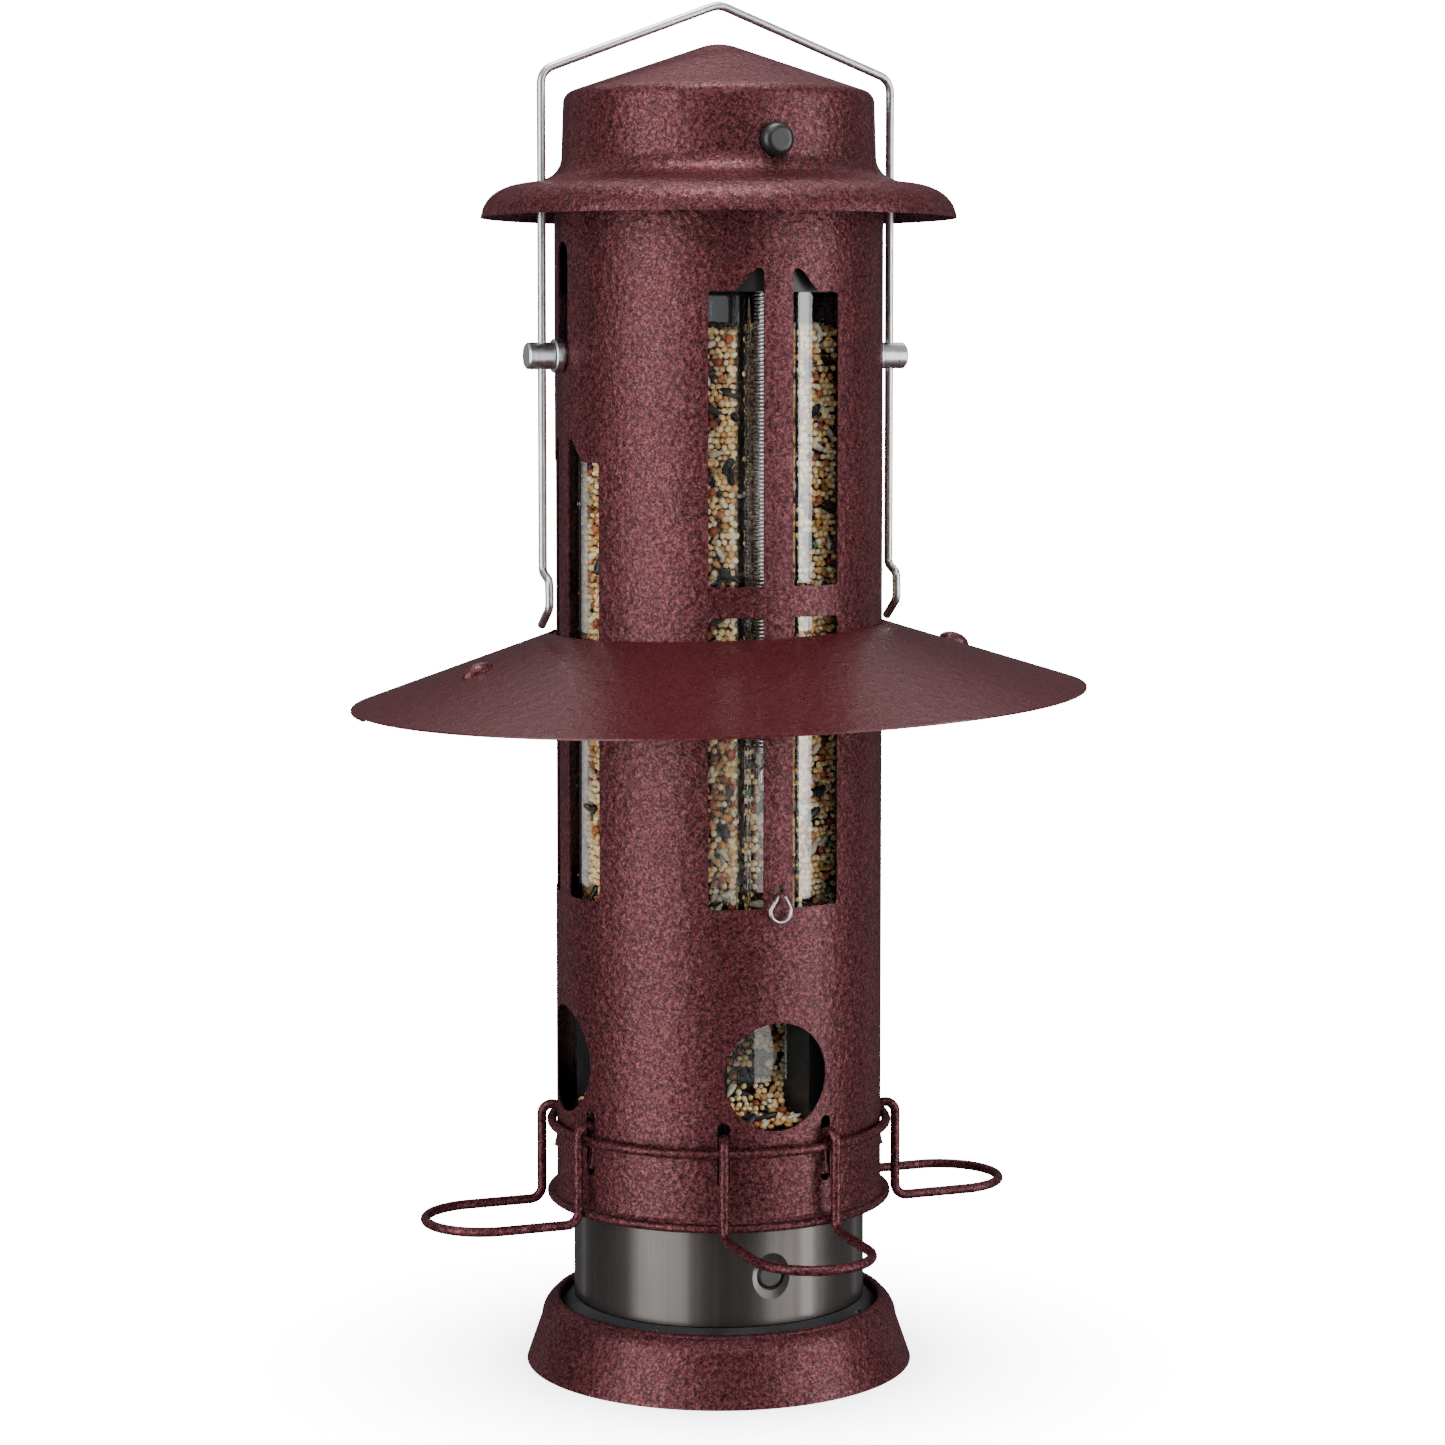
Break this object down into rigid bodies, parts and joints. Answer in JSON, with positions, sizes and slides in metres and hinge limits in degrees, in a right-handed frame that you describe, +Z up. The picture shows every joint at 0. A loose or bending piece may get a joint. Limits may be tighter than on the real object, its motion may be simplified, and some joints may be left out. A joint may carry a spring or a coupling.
{
  "type": "hanging tube bird feeder",
  "caption": "Hanging tube feeder for wild birds with a spring-held perforated shroud that drops to close the ports, cone lid, weather guard, wire perches and bail.",
  "frame": {"origin": "centre of the base skirt's rim, on the surface the feeder stands on", "axes": "+Z up along the tube, -Y out of the front port, +X along the hanger pins"},
  "size_m": [0.2923, 0.2924, 0.5414],
  "materials": {
    "hammered_burgundy": "hammered",
    "guard_burgundy": "gloss",
    "black_plastic": "satin",
    "gunmetal": "gloss",
    "clear_plastic": "clear",
    "seed": "natural",
    "zinc_steel": "satin",
    "spring_steel": "bright"
  },
  "bodies": {
    "feeder_body": {"base_skirt": "hammered_burgundy", "base_floor": "black_plastic", "base_screws": "spring_steel", "lower_tube": "gunmetal", "seed_tray": "black_plastic", "port_ring": "black_plastic", "seed_tube": "clear_plastic", "seed_fill": "seed", "top_collar": "black_plastic", "cross_rod": "spring_steel", "hanger_pin_right": "zinc_steel", "hanger_pin_left": "zinc_steel", "pin_spacer_right": "zinc_steel", "pin_spacer_left": "zinc_steel", "spring_anchor_front": "spring_steel", "spring_anchor_back": "spring_steel", "base_snap_spring_front": "spring_steel", "base_snap_spring_back": "spring_steel", "port_bay_front": "black_plastic", "port_bay_right": "black_plastic", "port_bay_back": "black_plastic", "port_bay_left": "black_plastic", "port_baffle_front": "clear_plastic", "port_baffle_right": "clear_plastic", "port_baffle_back": "clear_plastic", "port_baffle_left": "clear_plastic"},
    "shroud": {"shroud": "hammered_burgundy", "guard_front": "guard_burgundy", "guard_back": "guard_burgundy", "perch_ring": "hammered_burgundy", "spring_front": "spring_steel", "spring_back": "spring_steel", "link_wire_front": "spring_steel", "link_wire_back": "spring_steel", "perch_front": "hammered_burgundy", "perch_right": "hammered_burgundy", "perch_back": "hammered_burgundy", "perch_left": "hammered_burgundy"},
    "bail": {"bail": "zinc_steel"},
    "lid": {"lid_shell": "hammered_burgundy", "lid_spring_front": "spring_steel", "lid_spring_back": "spring_steel"},
    "lid_button_front": {"lid_button_front": "black_plastic"},
    "lid_button_back": {"lid_button_back": "black_plastic"},
    "base_snap_front": {"base_snap_front": "black_plastic"},
    "base_snap_back": {"base_snap_back": "black_plastic"}
  },
  "joints": [
    {"name": "shroud_slide", "type": "slide", "parent": "feeder_body", "child": "shroud", "axis": [0, 0, 1], "range_m": [-0.039, 0], "stiffness_N_per_m": 60, "springref_m": 0.25, "deforming": ["spring_front", "spring_back"]},
    {"name": "bail_slide", "type": "slide", "parent": "feeder_body", "child": "bail", "axis": [0, 0, 1], "range_m": [0, 0.075]},
    {"name": "lid_lift", "type": "slide", "parent": "feeder_body", "child": "lid", "axis": [0, 0, 1], "range_m": [0, 0.01]},
    {"name": "lid_button_front_press", "type": "slide", "parent": "lid", "child": "lid_button_front", "axis": [0, 1, 0], "range_m": [0, 0.003], "stiffness_N_per_m": 300},
    {"name": "lid_button_back_press", "type": "slide", "parent": "lid", "child": "lid_button_back", "axis": [0, -1, 0], "range_m": [0, 0.003], "stiffness_N_per_m": 300},
    {"name": "base_snap_front_press", "type": "slide", "parent": "feeder_body", "child": "base_snap_front", "axis": [0, 1, 0], "range_m": [0, 0.003], "stiffness_N_per_m": 300},
    {"name": "base_snap_back_press", "type": "slide", "parent": "feeder_body", "child": "base_snap_back", "axis": [0, -1, 0], "range_m": [0, 0.003], "stiffness_N_per_m": 300}
  ]
}
